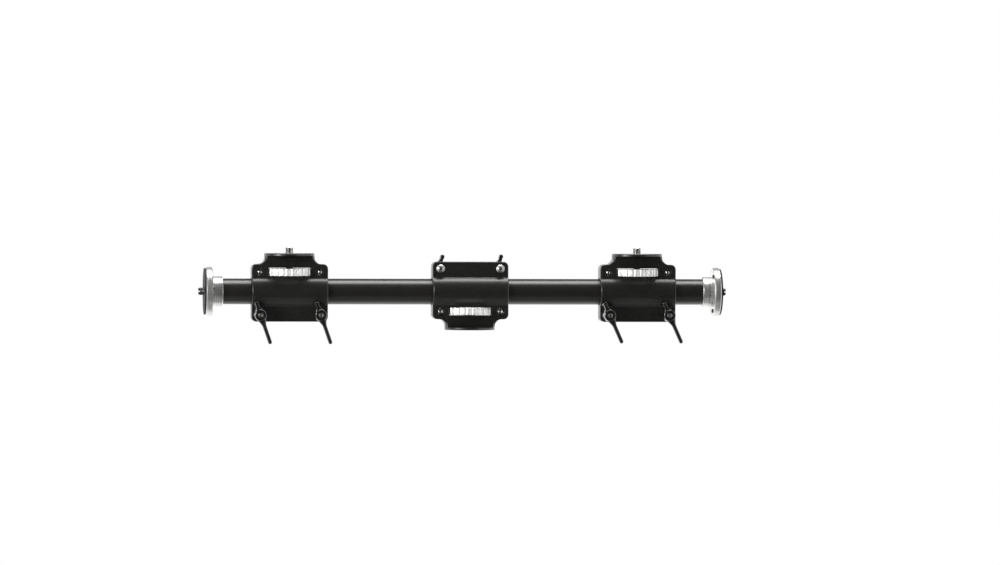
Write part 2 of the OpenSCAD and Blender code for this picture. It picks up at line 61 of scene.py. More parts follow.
# %% Shared sizes in millimetres
MM = 0.001
AXIS_H = 47.0
BOLT_X = 37.0
BOLT_Z = -28.5
SCREW_Z = 24.125
WHEEL_Z = 19.225
# Where the clamps' middles and the pads' faces lie along the bar
CLAMPS = {"left": -223.0, "centre": 0.0, "right": 208.0}
END_X = {"left": -328.0, "right": 312.0}
# How far the two levers of a clamp are turned on their bolts, in degrees
TURNS = {"left": (-19.0, -19.0), "centre": (160.0, 164.0), "right": (-23.5, -23.5)}


def shift(x, y, z):
    """The matrix that moves a point by (x, y, z)."""
    return np.array([[1, 0, 0, x], [0, 1, 0, y], [0, 0, 1, z], [0, 0, 0, 1]], float)


def turn(axis, degrees):
    """The matrix that turns a point round one of the axes x, y or z."""
    return np.array(Matrix.Rotation(math.radians(degrees), 4, axis.upper()))


def clamp_frame(clamp):
    """A clamp's own frame: the bar's axis along X, platform up, levers towards -Y. The centre clamp's
    is turned upside down."""
    place = shift(CLAMPS[clamp], 0, AXIS_H)
    return place @ turn("x", 180) if clamp == "centre" else place


def lever_frame(clamp, side):
    """A lever's own frame: its bolt along +Z out of the clamp, its handle towards -Y."""
    angle = TURNS[clamp][0 if side < 0 else 1]
    return clamp_frame(clamp) @ shift(side * BOLT_X, 0, BOLT_Z) @ turn("y", angle) @ turn("x", 90)


def end_frame(end):
    """An end of the bar: the pad's face at the origin and the tube along +Z."""
    place = shift(END_X[end], 0, AXIS_H)
    return place @ turn("y", 90) if end == "left" else place @ turn("z", 180) @ turn("y", 90)


print("lever frame of the left clamp", lever_frame("left", -1)[:3, 3])

# %% [markdown]
# ## From arrays to pieces
# A surface is worked out as a grid of points, row by row, and each four neighbours make a face.
# Where a row shrinks to a point its corners are merged afterwards, which closes poles and seams.
# Edges sharper than 35 degrees stay crisp. A plate with openings is one skin over several sheets.

# %% Grids, and the piece made from them
FINISHES = {}
MERGE_DISTANCE = 1e-7
CRISP_ANGLE = 35


def grid_faces(rows, columns, closed=True):
    """The four corners of each face of a grid. A closed grid joins its last column to its first."""
    across = columns if closed else columns - 1
    row, column = np.meshgrid(np.arange(rows - 1), np.arange(across), indexing="ij")
    low = row * columns
    high = low + columns
    right = (column + 1) % columns
    return np.stack([low + column, low + right, high + right, high + column], axis=-1).reshape(-1, 4)


def joined(*parts):
    """Several (points, faces) as one."""
    offsets = np.cumsum([0] + [len(points) for points, _ in parts])
    faces = [faces + offset for (_, faces), offset in zip(parts, offsets)]
    return np.concatenate([points for points, _ in parts]), np.concatenate(faces)


def placed(part, matrix):
    """The part's points carried by a matrix."""
    points, faces = part
    return points @ matrix[:3, :3].T + matrix[:3, 3], faces


def between_sheets(quads, rings):
    """A closed skin: the quads lie on the first and the last ring of points, and every edge that a
    single quad uses is carried through all the rings."""
    count = len(rings[0])
    edges = np.concatenate([quads[:, [k, (k + 1) % 4]] for k in range(4)])
    key = edges.min(axis=1) * count + edges.max(axis=1)
    _, first, uses = np.unique(key, return_index=True, return_counts=True)
    start, end = edges[first[uses == 1]].T
    faces = [quads, quads[:, ::-1] + (len(rings) - 1) * count]
    for k in range(len(rings) - 1):
        low, high = k * count, (k + 1) * count
        faces.append(np.column_stack([end + low, start + low, start + high, end + high]))
    used, index = np.unique(np.concatenate(faces), return_inverse=True)
    return np.concatenate(rings)[used], index.reshape(-1, 4)


def make_piece(name, part, finish, body, nodes, crisp=CRISP_ANGLE):
    """Puts points in millimetres into a closed mesh in metres, with its finish, body and nodes."""
    points, faces = part
    mesh = bpy.data.meshes.new(name)
    mesh.from_pydata((points * MM).tolist(), [], faces.tolist())
    work = bmesh.new()
    work.from_mesh(mesh)
    bmesh.ops.remove_doubles(work, verts=work.verts, dist=MERGE_DISTANCE)
    bmesh.ops.dissolve_degenerate(work, edges=work.edges, dist=MERGE_DISTANCE)
    bmesh.ops.recalc_face_normals(work, faces=work.faces)
    work.to_mesh(mesh)
    work.free()
    mesh.shade_smooth()
    mesh.set_sharp_from_angle(angle=math.radians(crisp))
    piece = bpy.data.objects.new(name, mesh)
    bpy.context.scene.collection.objects.link(piece)
    mesh.materials.append(FINISHES[finish])
    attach(piece, body)
    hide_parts(*nodes)
    return piece


print("a grid of 3 by 4 points has", len(grid_faces(3, 4)), "faces when it is closed")

# %% [markdown]
# ## Shader maths
# A finish is a small calculation over the surface. The class below wraps one output of a node, so
# that ordinary Python arithmetic on it adds the Math nodes.


# %% A wire between nodes
class Wire:
    """One output of a node tree. Arithmetic on it adds Math nodes, and node() adds any other kind."""

    def __init__(self, tree, socket=None):
        self.tree = tree
        self.socket = socket

    def node(self, kind, inputs=None, output=0, **settings):
        """Adds a node, with its settings and the values or wires of its inputs. Returns one output."""
        made = self.tree.nodes.new(kind)
        for name, value in settings.items():
            setattr(made, name, value)
        for key, value in (inputs or {}).items():
            if isinstance(value, Wire):
                self.tree.links.new(value.socket, made.inputs[key])
            else:
                made.inputs[key].default_value = value
        return Wire(self.tree, made.outputs[output])

    def math(self, operation, first, second):
        """One Math node."""
        return self.node("ShaderNodeMath", {0: first, 1: second}, operation=operation)

    def vector(self, operation, *others, output=0):
        """One Vector Math node. Its output is a vector, or a number where the output is "Value"."""
        inputs = dict(enumerate([self, *others]))
        return self.node("ShaderNodeVectorMath", inputs, output=output, operation=operation)

    def __add__(self, other):
        return self.math("ADD", self, other)

    def __sub__(self, other):
        return self.math("SUBTRACT", self, other)

    def __rsub__(self, other):
        return self.math("SUBTRACT", other, self)

    def __mul__(self, other):
        return self.math("MULTIPLY", self, other)

    __radd__ = __add__
    __rmul__ = __mul__

    def eased(self, low, high):
        """Rises smoothly from 0 at low to 1 at high."""
        limits = {0: self, 1: low, 2: high, 3: 0.0, 4: 1.0}
        return self.node("ShaderNodeMapRange", limits, interpolation_type="SMOOTHSTEP")

    def part(self, axis):
        """One coordinate of a vector."""
        return self.node("ShaderNodeSeparateXYZ", {0: self}, output="xyz".index(axis))

    def noise(self, scale, detail, stretch=(1, 1, 1)):
        """Cloudy noise from 0 to 1, with about scale clouds in a metre, stretched along an axis."""
        vector = self.node("ShaderNodeMapping", {"Vector": self, "Scale": stretch})
        return self.node("ShaderNodeTexNoise", {"Vector": vector, "Scale": scale, "Detail": detail})

    def lines(self, along, scale, detail):
        """Uneven fine lines across a distance, as a tool leaves them."""
        inputs = {"W": along, "Scale": scale, "Detail": detail}
        return self.node("ShaderNodeTexNoise", inputs, noise_dimensions="1D")

    def mix(self, factor, first, second):
        """A colour between two others. The Mix node's colours are its inputs 6 and 7 and its output 2."""
        inputs = {0: factor, 6: first, 7: second}
        return self.node("ShaderNodeMix", inputs, output=2, data_type="RGBA")


def start_finish(name, constants):
    """A new finish: its surface shader with some inputs set, and a wire of the piece's own
    coordinates."""
    material = bpy.data.materials.new(name)
    FINISHES[name] = material
    material.use_nodes = True
    shader = material.node_tree.nodes["Principled BSDF"]
    for key, value in constants.items():
        shader.inputs[key].default_value = value
    return shader, Wire(material.node_tree).node("ShaderNodeTexCoord", output="Object")


def connect(shader, place, color, roughness, height, depth):
    """Feeds the shader with a colour, a roughness, and a height of up to depth metres as a bump."""
    links = place.tree.links
    links.new(color.socket, shader.inputs["Base Color"])
    links.new(roughness.socket, shader.inputs["Roughness"])
    bump = place.node("ShaderNodeBump", {"Height": height, "Distance": depth, "Strength": 1.0})
    links.new(bump.socket, shader.inputs["Normal"])


print("wires add, subtract and multiply, and make noise, lines and mixes of colours")

# %% [markdown]
# ## Black finishes
# The clamps are aluminium castings with a satin black powder coat: a fine orange peel, slightly
# uneven in gloss. The levers have the same coat, thinner and glossier. The tube is drawn and
# anodised, so its lines run along it. The pads are rubber, the set screws black oxide and the
# liners dark nylon. Each finish mixes two tones by a noise and lets the gloss follow it, because an
# even black looks like plastic.


# %% Black finishes
def coat(name, tone, rough, peel, ior):
    """Powder coat: the peel is a wide noise, grain a fine one, and both move the gloss a little."""
    shader, place = start_finish(name, {"IOR": ior})
    wide = place.noise(420, 3.0)
    fine = place.noise(2600, 2.0)
    dark = (*(part * 0.82 for part in tone), 1)
    light = (*(part * 1.2 for part in tone), 1)
    color = place.mix(wide.eased(0.3, 0.7), dark, light)
    gloss = rough + 0.06 * (wide - 0.5) + 0.04 * (fine - 0.5)
    connect(shader, place, color, gloss, wide * peel + fine * 0.1, 0.01 * MM)


coat("cast_black", tone=(0.0108, 0.0108, 0.0098), rough=0.31, peel=0.5, ior=1.53)
coat("lever_black", tone=(0.0075, 0.0075, 0.0071), rough=0.17, peel=0.5, ior=1.75)

shader, place = start_finish("anodised_black", {})
drawn = place.noise(1500, 3.0, (0.03, 1, 1))
cloud = place.noise(60, 2.0)
color = place.mix(cloud, (0.0096, 0.0092, 0.0080, 1), (0.0124, 0.0119, 0.0104, 1))
connect(shader, place, color, 0.3 + 0.10 * (drawn - 0.5) + 0.04 * (cloud - 0.5), drawn, 0.02 * MM)

shader, place = start_finish("rubber_black", {"IOR": 1.35})
grain = place.noise(3000, 3.0)
cloud = place.noise(90, 2.0)
color = place.mix(cloud, (0.008, 0.008, 0.008, 1), (0.014, 0.014, 0.0135, 1))
connect(shader, place, color, 0.6 + 0.15 * grain, grain, 0.08 * MM)

shader, place = start_finish("black_steel", {"Metallic": 1.0})
grain = place.noise(2400, 3.0)
color = place.mix(grain, (0.07, 0.07, 0.07, 1), (0.12, 0.12, 0.118, 1))
connect(shader, place, color, 0.24 + 0.1 * grain, grain, 0.05 * MM)

shader, place = start_finish("nylon_dark", {})
grain = place.noise(1200, 3.0)
color = place.mix(grain, (0.02, 0.02, 0.019, 1), (0.03, 0.03, 0.028, 1))
connect(shader, place, color, 0.45 + 0.1 * grain, grain, 0.05 * MM)
print("black finishes", sorted(FINISHES))

# %% [markdown]
# ## Bare metals
# The flanges and wheels are bare turned aluminium, whose tool lines run round. The wheels look
# whiter and duller than the flanges, so they get a lighter tone, more roughness and less metal. The
# screws and nuts above the bar are chromed. The clamp bolts, the threads and the steel inside the
# levers are zinc-plated, which is greyer and less shiny.


# %% Bare metals
def turned_metal(name, axis, centre, tone, rough, depth, metallic):
    """Turned metal: lines across the sum of the distance along the axis and the radius from it, so that
    they run round the cylinders and in rings on the faces."""
    shader, place = start_finish(name, {"Metallic": metallic})
    offset = place.vector("SUBTRACT", centre)
    across = offset.vector("MULTIPLY", tuple(1.0 - a for a in axis))
    distance = across.vector("LENGTH", output="Value")
    distance = distance + offset.vector("DOT_PRODUCT", axis, output="Value")
    feed = place.lines(distance, 2600, 2.0)
    band = place.lines(distance, 420, 3.0)
    cloud = place.noise(70, 2.0)
    dark = (tone * 0.7, tone * 0.7, tone * 0.685, 1)
    light = (tone * 1.16, tone * 1.16, tone * 1.14, 1)
    color = place.mix(0.7 * band.eased(0.3, 0.7) + 0.3 * cloud, dark, light)
    gloss = rough + 0.12 * (band - 0.5) + 0.05 * (cloud - 0.5)
    connect(shader, place, color, gloss, 0.5 * feed + 0.5 * band, depth)


turned_metal("turned_silver", axis=(1, 0, 0), centre=(0, 0, AXIS_H * MM), tone=0.6, rough=0.32,
             depth=0.04 * MM, metallic=0.84)
turned_metal("wheel_silver", axis=(0, 0, 1), centre=(0, 0, 0), tone=0.86, rough=0.46,
             depth=0.01 * MM, metallic=0.55)

shader, place = start_finish("bolt_chrome", {"Metallic": 1.0})
cloud = place.noise(500, 2.0)
color = place.mix(cloud, (0.44, 0.44, 0.42, 1), (0.54, 0.54, 0.52, 1))
connect(shader, place, color, 0.14 + 0.08 * cloud, cloud, 0.01 * MM)

shader, place = start_finish("zinc_steel", {"Metallic": 1.0})
cloud = place.noise(300, 3.0)
grain = place.noise(2500, 2.0)
color = place.mix(cloud, (0.26, 0.26, 0.255, 1), (0.38, 0.38, 0.37, 1))
connect(shader, place, color, 0.3 + 0.1 * cloud + 0.05 * grain, grain, 0.01 * MM)
print("all finishes", sorted(FINISHES))

# %% [markdown]
# ## The camera
# The picture was taken from far away with a long lens, from a little to the left and almost level
# with the bar. The place, the turns and the lens length follow from where a dozen known points of
# the bar lie in the picture.

# %% Camera
YAW = math.radians(6.20)
UPTILT = math.radians(-0.98)
ROLL = math.radians(0.195)
TARGET = np.array([0.0377, 0.0, 0.0584])
DISTANCE = 7.0
LENS = 204.1
flat = math.cos(UPTILT)
ahead = np.array([math.sin(YAW) * flat, math.cos(YAW) * flat, math.sin(UPTILT)])
level = np.array([math.cos(YAW), -math.sin(YAW), 0.0])
upward = np.cross(level, ahead)
pose = np.eye(4)
pose[:3, 0] = math.cos(ROLL) * level + math.sin(ROLL) * upward
pose[:3, 1] = -math.sin(ROLL) * level + math.cos(ROLL) * upward
pose[:3, 2] = -ahead
pose[:3, 3] = TARGET - DISTANCE * ahead
camera = bpy.data.objects.new("camera", bpy.data.cameras.new("camera"))
bpy.context.scene.collection.objects.link(camera)
camera.matrix_world = Matrix(pose.tolist())
camera.data.sensor_width = 36.0
camera.data.lens = LENS
camera.data.clip_end = 500.0
bpy.context.scene.camera = camera
print("camera at", np.round(pose[:3, 3], 3))

# %% [markdown]
# ## The castings
# Each clamp is two castings, split on the bar's middle plane. Seen from the front a half is a
# relief: the height over the plane is the larger of the flat web, the round boss on the bar and the
# platform, with a small fillet where they meet. Its back is a relief too, with the half bore in it.
# So both are laid on one grid that fills the outline, and every open edge of the grid, round the
# outside, the window and the holes, is carried through a quarter round and down to the back.

# %% Sizes of the casting
# The bar's bore, the boss round it and the flat plates above and below
BORE_R = 17.025
BOSS_R = 20.725
BOSS_FILLET = 1.6
HALF_W = 47.0
WEB_HALF = 13.0
JAW_HALF = 11.0
JAW_GAP = 0.5
# The outline, from the bottom up to the platform's rim
CORNER_R = 6.0
BOTTOM_Z = -37.0
SHOULDER_Z = 33.8
WIDENING_Z = 34.5
NECK_Z = 41.8
NECK_X = 30.5
NECK_R = 8.0
DECK_R = 31.0
DECK_FILLET = 1.2
FLARE_TOP = 44.0
RIM_ROUND = 1.2
# Roundings of the outline's edge, and how much more they are at the boss's ends
EDGE_ROUND = 1.0
BOSS_END_ROUND = 0.5
# The openings, the wheel's round pocket, and the roundings of their edges
WINDOW_Z = 19.025
WINDOW_H = 10.2
WINDOW_W = 53.0
WINDOW_CORNER = 1.2
POCKET_R = 28.0
BOLT_HOLE_R = 3.25
LIPS = {"window": 0.8, "screw": 0.5, "bolt": 0.4}
# The usual distance between two rows of the grid
ROW_STEP = 0.6
print("a clamp is", 2 * HALF_W, "wide and", AXIS_H - BOTTOM_Z, "high")

# %% [markdown]
# The outline is one list of points up the right side, because the left side mirrors it. Rows lie
# closer together where the outline or the relief bends.


# %% The casting's outline
def larger(a, b, fillet):
    """The larger of two heights. Near their crossing a parabola is added, as a fillet."""
    near = np.maximum(fillet - np.abs(a - b), 0.0) / fillet
    return np.maximum(a, b) + near * near * fillet / 4


def circle_height(radius, distance):
    """The height of a circle over its diameter: the root of radius squared less distance squared."""
    return np.sqrt(np.maximum(radius * radius - distance * distance, 0.0))


def outline_side():
    """The casting's right edge from the bottom up: corner arc, side, shoulder arc, hollow neck, flare
    and rounded rim. Its columns are x, z, outward x and z, rounding, and the corner's distance."""
    rows = []

    def arc(x, z, radius, start, end, count, sign):
        angle = np.radians(np.linspace(start, end, count))
        c, s = np.cos(angle), np.sin(angle)
        edge = np.full(count, EDGE_ROUND)
        rows.append(np.column_stack([x + radius * c, z + radius * s, sign * c, sign * s, edge]))

    def straight(heights, x=HALF_W, edge=EDGE_ROUND):
        one = np.ones(len(heights))
        rows.append(np.column_stack([x * one, heights, one, 0 * one, edge * one]))

    arc(HALF_W - CORNER_R, BOTTOM_Z + CORNER_R, CORNER_R, -90, 0, 10, 1)
    straight(np.arange(BOTTOM_Z + CORNER_R + ROW_STEP, -BORE_R - 0.3, ROW_STEP))
    boss = -BORE_R * np.cos(np.linspace(0, np.pi, 33))
    just_inside = boss / BORE_R / 1.001
    straight(boss, edge=EDGE_ROUND + BOSS_END_ROUND * np.sqrt(1 - just_inside**2))
    straight(np.arange(BORE_R + ROW_STEP, WINDOW_Z - 1.0, ROW_STEP))
    straight(WINDOW_Z + np.array([-0.8, -0.3, 0.0, 0.1, 0.5]))
    straight(np.arange(WINDOW_Z + 1.0, SHOULDER_Z - CORNER_R - 0.2, ROW_STEP))
    arc(HALF_W - CORNER_R, SHOULDER_Z - CORNER_R, CORNER_R, 0, 90, 12, 1)
    arc(NECK_X + NECK_R, NECK_Z, NECK_R, -95, -180, 14, -1)
    flare = np.linspace(0.1, 1.0, 9)
    flare_x = NECK_X + (DECK_R - NECK_X) * flare
    straight(NECK_Z + (FLARE_TOP - NECK_Z) * flare, flare_x, EDGE_ROUND * (1 - flare))
    shoulder = AXIS_H - RIM_ROUND
    straight(np.array([FLARE_TOP + 0.3, FLARE_TOP + 1.0, shoulder]), DECK_R, 0.0)
    bend = np.radians(np.linspace(12, 90, 8))
    straight(shoulder + RIM_ROUND * np.sin(bend), DECK_R - RIM_ROUND * (1 - np.cos(bend)), 0.0)
    side = np.concatenate(rows)
    rise = np.clip((side[:, 1] - WIDENING_Z) / (NECK_Z - WIDENING_Z), 0, 1)
    neck_corner = circle_height(DECK_R, NECK_X)
    corner = WEB_HALF + (neck_corner - WEB_HALF) * rise * rise * (3 - 2 * rise)
    deck_corner = circle_height(DECK_R, np.minimum(side[:, 0], DECK_R))
    corner = np.where(side[:, 1] > NECK_Z, deck_corner, corner)
    return np.column_stack([side, np.hypot(side[:, 0], corner)])


SIDE = outline_side()
ROW_Z = SIDE[:, 1] - SIDE[:, 4] * SIDE[:, 3]
ROW_X = SIDE[:, 0] - SIDE[:, 4] * SIDE[:, 2]
print("rows of the casting", len(SIDE), "from", ROW_Z[0], "to", ROW_Z[-1])


# %% Heights of the front and the back
def front_height(x, z):
    """Height of the casting's face: web above the bar, jaw below it, boss and platform. Beside the
    neck it is held inside a circle."""
    limit = np.interp(z, ROW_Z, SIDE[:, 5])
    plate = np.where(z > 0, np.minimum(WEB_HALF, circle_height(limit, x)), JAW_HALF)
    face = larger(plate, circle_height(BOSS_R, z), BOSS_FILLET)
    deck_r = np.interp(z, [NECK_Z - 0.01, NECK_Z, FLARE_TOP], [0, WEB_HALF, DECK_R])
    bend = np.maximum(z - AXIS_H + RIM_ROUND, 0)
    deck_r = np.where(bend > 0, DECK_R - RIM_ROUND + circle_height(RIM_ROUND, bend), deck_r)
    platform = circle_height(deck_r, x)
    top = np.where(z > FLARE_TOP, np.maximum(face, platform), larger(face, platform, DECK_FILLET))
    return np.where(z > SHOULDER_Z, top, face)


def back_height(x, z, hole_r):
    """Height of the casting's back: the half bore, half the gap between the jaws, the stud's half hole,
    and beside the window the round pocket of the wheel."""
    flat = np.where(z < 0, JAW_GAP, 0.0)
    beside_window = (z > WINDOW_Z + 0.05) & (z < WINDOW_Z + WINDOW_H - 0.02)
    flat = np.where(beside_window, circle_height(POCKET_R, x), flat)
    hole = np.where(z > WINDOW_Z + WINDOW_H - 1.0, circle_height(hole_r, x), 0.0)
    return np.maximum(np.maximum(flat, circle_height(BORE_R, z)), hole)


print("the boss is", front_height(0.0, 0.0), "high and the bore", back_height(0.0, 0.0, 0.0))


# %% Openings of the casting
def opening_distance(x, z, screw_r):
    """Distance outwards from the nearest opening's edge, less its rounding. The window is a rectangle
    with round corners, and the holes are circles."""
    over_x = np.abs(x) - (WINDOW_W / 2 - WINDOW_CORNER)
    over_z = np.abs(z - SCREW_Z) - (WINDOW_H / 2 - WINDOW_CORNER)
    outside = np.hypot(np.maximum(over_x, 0), np.maximum(over_z, 0))
    window = outside + np.minimum(np.maximum(over_x, over_z), 0) - WINDOW_CORNER
    screw = np.hypot(np.abs(x) - BOLT_X, z - SCREW_Z) - screw_r
    bolt = np.hypot(np.abs(x) - BOLT_X, z - BOLT_Z) - BOLT_HOLE_R
    return np.minimum(np.minimum(window - LIPS["window"], screw - LIPS["screw"]), bolt - LIPS["bolt"])


def opening_rounding(x, z):
    """The rounding of the opening that is nearest: the holes lie beyond x = 31.5 on both sides of the
    window."""
    hole_lip = np.where(z > 0, LIPS["screw"], LIPS["bolt"])
    return np.where(np.abs(x) > 31.5, hole_lip, LIPS["window"])


def slope(function, x, z):
    """The direction in which a function of the plane grows, by small differences."""
    step = 1e-4
    gx = (function(x + step, z) - function(x - step, z)) / (2 * step)
    gz = (function(x, z + step) - function(x, z - step)) / (2 * step)
    length = np.maximum(np.hypot(gx, gz), 1e-9)
    return gx / length, gz / length


print("the middle of the window is", opening_distance(0.0, SCREW_Z, 0.0), "from its lip")

# %% [markdown]
# One half is then put together from those functions. Its columns stand upright in the middle, where
# the stud's hole is, and lean outwards beyond that to follow the outline. The face, the roundings
# and the back are rings of the same points, and one skin is drawn over them all.

# %% One half of a clamp
UPRIGHT_X = 20.0
SPREAD_X = 46.0
INSIDE_OPENING = -0.25


def casting(screw_r, hole_r):
    """Half a clamp with its split plane at y = 0 and its face towards +Y. The grid's points beside an
    opening are moved onto its edge, and the faces inside it are left out. At the boss's ends the edge's
    round is up to twice as deep as it is wide, which is the casting's draft."""
    beside = WINDOW_W / 2 + LIPS["window"]
    columns = np.concatenate([
        hole_r * np.sin(np.linspace(0, np.pi / 2, 6)),
        np.linspace(hole_r, UPRIGHT_X, 10)[1:],
        np.linspace(UPRIGHT_X, beside, 8)[1:],
        np.linspace(beside, SPREAD_X, 31)[1:],
    ])
    columns = np.concatenate([-columns[:0:-1], columns])
    beyond = np.maximum(np.abs(columns) - UPRIGHT_X, 0)
    lean = beyond * (ROW_X[:, None] - UPRIGHT_X) / (SPREAD_X - UPRIGHT_X)
    x = np.sign(columns) * (np.minimum(np.abs(columns), UPRIGHT_X) + lean)
    rows, wide = x.shape
    out_x = SIDE[:, 2:3] * np.sign(columns)
    grids = np.broadcast_arrays(out_x, SIDE[:, 3:4], SIDE[:, 4:5], x, ROW_Z[:, None])
    out_x, out_z, rounding, x, z = (grid.flatten() for grid in grids)

    def distance(px, pz):
        return opening_distance(px, pz, screw_r)

    quads = grid_faces(rows, wide, closed=False)
    gone = (distance(x, z) < INSIDE_OPENING)[quads].any(axis=1)
    lip = np.intersect1d(np.unique(quads[gone]), np.unique(quads[~gone]))
    for _ in range(4):
        gx, gz = slope(distance, x[lip], z[lip])
        gap = distance(x[lip], z[lip])
        x[lip] -= gap * gx
        z[lip] -= gap * gz
    gx, gz = slope(distance, x[lip], z[lip])
    out_x[lip], out_z[lip], rounding[lip] = -gx, -gz, opening_rounding(x[lip], z[lip])
    quads = quads[~gone]

    face = front_height(x, z)
    deeper = 1 + circle_height(BORE_R, z) / BORE_R
    rings = [np.column_stack([x, face, z])]
    for angle in np.radians([22.5, 45, 67.5, 90]):
        reach = rounding * np.sin(angle)
        drop = rounding * deeper * (1 - np.cos(angle))
        rings.append(np.column_stack([x + out_x * reach, face - drop, z + out_z * reach]))
    seam = 0.3 * rounding
    edge_x, edge_z = x + out_x * rounding, z + out_z * rounding
    edge_y = np.minimum(back_height(edge_x, edge_z, hole_r) + seam, face - rounding * deeper)
    rings.append(np.column_stack([edge_x, edge_y, edge_z]))
    edge_x, edge_z = edge_x - out_x * seam, edge_z - out_z * seam
    rings.append(np.column_stack([edge_x, back_height(edge_x, edge_z, hole_r), edge_z]))
    rings.append(np.column_stack([x, back_height(x, z, hole_r), z]))
    return between_sheets(quads, rings)


MIRROR = np.diag([1.0, -1.0, 1.0, 1.0])
HEAD_RECESS_R = 3.75
NUT_RECESS_R = 4.29
STUD_HOLE_R = 5.1125
BUSH_HOLE_R = 7.35
for clamp in CLAMPS:
    hole_r = BUSH_HOLE_R if clamp == "centre" else STUD_HOLE_R
    body = clamp + "_clamp"
    front = placed(casting(HEAD_RECESS_R, hole_r), clamp_frame(clamp) @ MIRROR)
    back = placed(casting(NUT_RECESS_R, hole_r), clamp_frame(clamp))
    shell = make_piece(clamp + "_lever_casting", front, "cast_black", body, [clamp + "_lever_shell"])
    make_piece(clamp + "_plain_casting", back, "cast_black", body, [clamp + "_plain_shell"])
    print(clamp, "casting has", len(shell.data.polygons), "faces")

# %% [markdown]
# ## Turned pieces
# Screws, studs, nuts and wheels are grids of rings round an axis. A ring's radius may change with
# the angle, which turns a circle into a hexagon, a flute or a thread.


# %% Rings round an axis
def angles(count):
    """Evenly spaced angles once round."""
    return np.arange(count) * 2 * np.pi / count


def ring_stack(radii, heights, count=72):
    """Rings round Z. Each radius and each height is a number or an array over the angles."""
    angle = angles(count)
    radius = np.stack([np.broadcast_to(r, count) for r in radii])
    height = np.stack([np.broadcast_to(h, count) for h in heights])
    points = np.stack([radius * np.cos(angle), radius * np.sin(angle), height], axis=-1).reshape(-1, 3)
    return points, grid_faces(len(radii), count)


def hexagon(across_corners, count=72):
    """The radius of a hexagon over the angle: the distance to its flat side over the cosine of the
    angle from that side's middle."""
    from_flat = (angles(count) % (np.pi / 3)) - np.pi / 6
    return across_corners / 2 * math.cos(np.pi / 6) / np.cos(from_flat)


def rounded_edge(radius, height, size, start, end, count=5):
    """A quarter round as radii and heights, from one angle to another round its centre."""
    angle = np.radians(np.linspace(start, end, count))
    return list(radius + size * np.cos(angle)), list(height + size * np.sin(angle))


def socket_screw(shank_r, tip_z, head_r, head_z, top_z, dome, socket):
    """A screw along +Z with a hexagon socket: a shank with a round tip, a head with a crisp edge, a
    dome that falls with the square of the radius, and the socket's walls."""
    edge = 0.03
    tip = tip_z + np.array([0, 0.08, 0.32, 0.6, 0.9])
    radii = [0, shank_r * 0.35, shank_r * 0.7, shank_r - 0.15, shank_r, shank_r, head_r - 0.2, head_r]
    heights = [*tip, head_z, head_z, head_z + 0.2]
    r, h = rounded_edge(head_r - edge, top_z - dome - edge, edge, 0, 65)
    radii += r
    heights += h
    mouth = socket / 2 + 0.15
    ring = r[-1] + (mouth - r[-1]) * np.linspace(0.125, 1, 8)
    radii += list(ring)
    heights += list(h[-1] + (top_z - h[-1]) * (r[-1]**2 - ring**2) / (r[-1]**2 - mouth**2))
    flats = hexagon(socket)
    radii += [flats + 0.1, flats, flats, flats * 0.55, 0]
    floor = head_z + (top_z - head_z) * 0.35
    heights += [top_z, top_z - 0.15, floor, floor - 0.3, floor - 0.5]
    return ring_stack(radii, heights)


print("a hexagon 2 mm over its corners reaches", hexagon(2.0).min(), "at its flats")

# %% [markdown]
# A screw thread is a ridge that climbs one pitch in a turn. On a grid of angle and height the ridge
# follows the height less the climb, so a single formula for the radius draws the whole helix. It
# fades out at both ends, as a cut thread does, and the tip's chamfer caps it.

# %% Threads and camera studs
PITCH = 25.4 / 16
STUD_R = 9.525 / 2
SHANK_R = 4.25
STUD_OUT = 7.0
THREAD_DEPTH = 0.45


def ridge(phase):
    """Height of a thread from 0 to 1 over one pitch: a flat root, two slopes and a flat crest."""
    flat = 0.12
    return np.clip((np.abs(2 * phase - 1) - flat) / (1 - 2 * flat), 0, 1)


def thread_radius(heights, crest, depth, start, end, count=72):
    """Radius over height and angle: a ridge that climbs one pitch in a turn, faded in and out over half
    a pitch."""
    turns = np.arange(count) / count
    phase = (heights[:, None] / PITCH - turns) % 1.0
    fade_in = np.clip((heights - start) / (PITCH / 2), 0, 1)
    fade_out = np.clip((end - heights) / (PITCH / 2), 0, 1)
    fade = (fade_in * fade_out)[:, None]
    return crest - depth * (1 - ridge(phase)) * fade


def threaded_stud(foot_z, face_z, out, chamfer):
    """A stud along +Z: plain shank to just above the face, then the thread and a chamfered tip."""
    start, tip = face_z + 0.5, face_z + out
    climb = np.arange(start, tip + 0.001, PITCH / 12)
    climb = np.append(climb, tip)
    radius = thread_radius(climb, STUD_R, THREAD_DEPTH, start - 0.4, tip - 0.1)
    cap = np.clip(STUD_R - chamfer + (tip - climb), 0, STUD_R)[:, None]
    radii = [0, SHANK_R - 0.5, SHANK_R, SHANK_R] + list(np.minimum(radius, cap)) + [0]
    heights = [foot_z, foot_z, foot_z + 0.5, start - 0.05] + list(climb) + [tip]
    return ring_stack(radii, heights)


for clamp in ("left", "right"):
    stud = placed(threaded_stud(WHEEL_Z, AXIS_H, STUD_OUT, chamfer=0.4), clamp_frame(clamp))
    body = clamp + "_wheel"
    make_piece(clamp + "_threaded_stud", stud, "zinc_steel", body, [clamp + "_camera_stud"], 50)
    print(clamp, "camera stud stands", STUD_OUT, "over its platform")

# %% [markdown]
# The studs at the bar's ends have a screwdriver slot. Below the slot they are the same stud, and
# beside it stand two prongs, each an arc of the thread closed by a straight chord.

# %% Slotted end studs
END_STUD_FOOT = -11.0
SLOT_FLOOR = 4.8
HALF_SLOT = 0.75
PRONG_THREAD_DEPTH = 0.85
PRONG_CHAMFER = 1.1


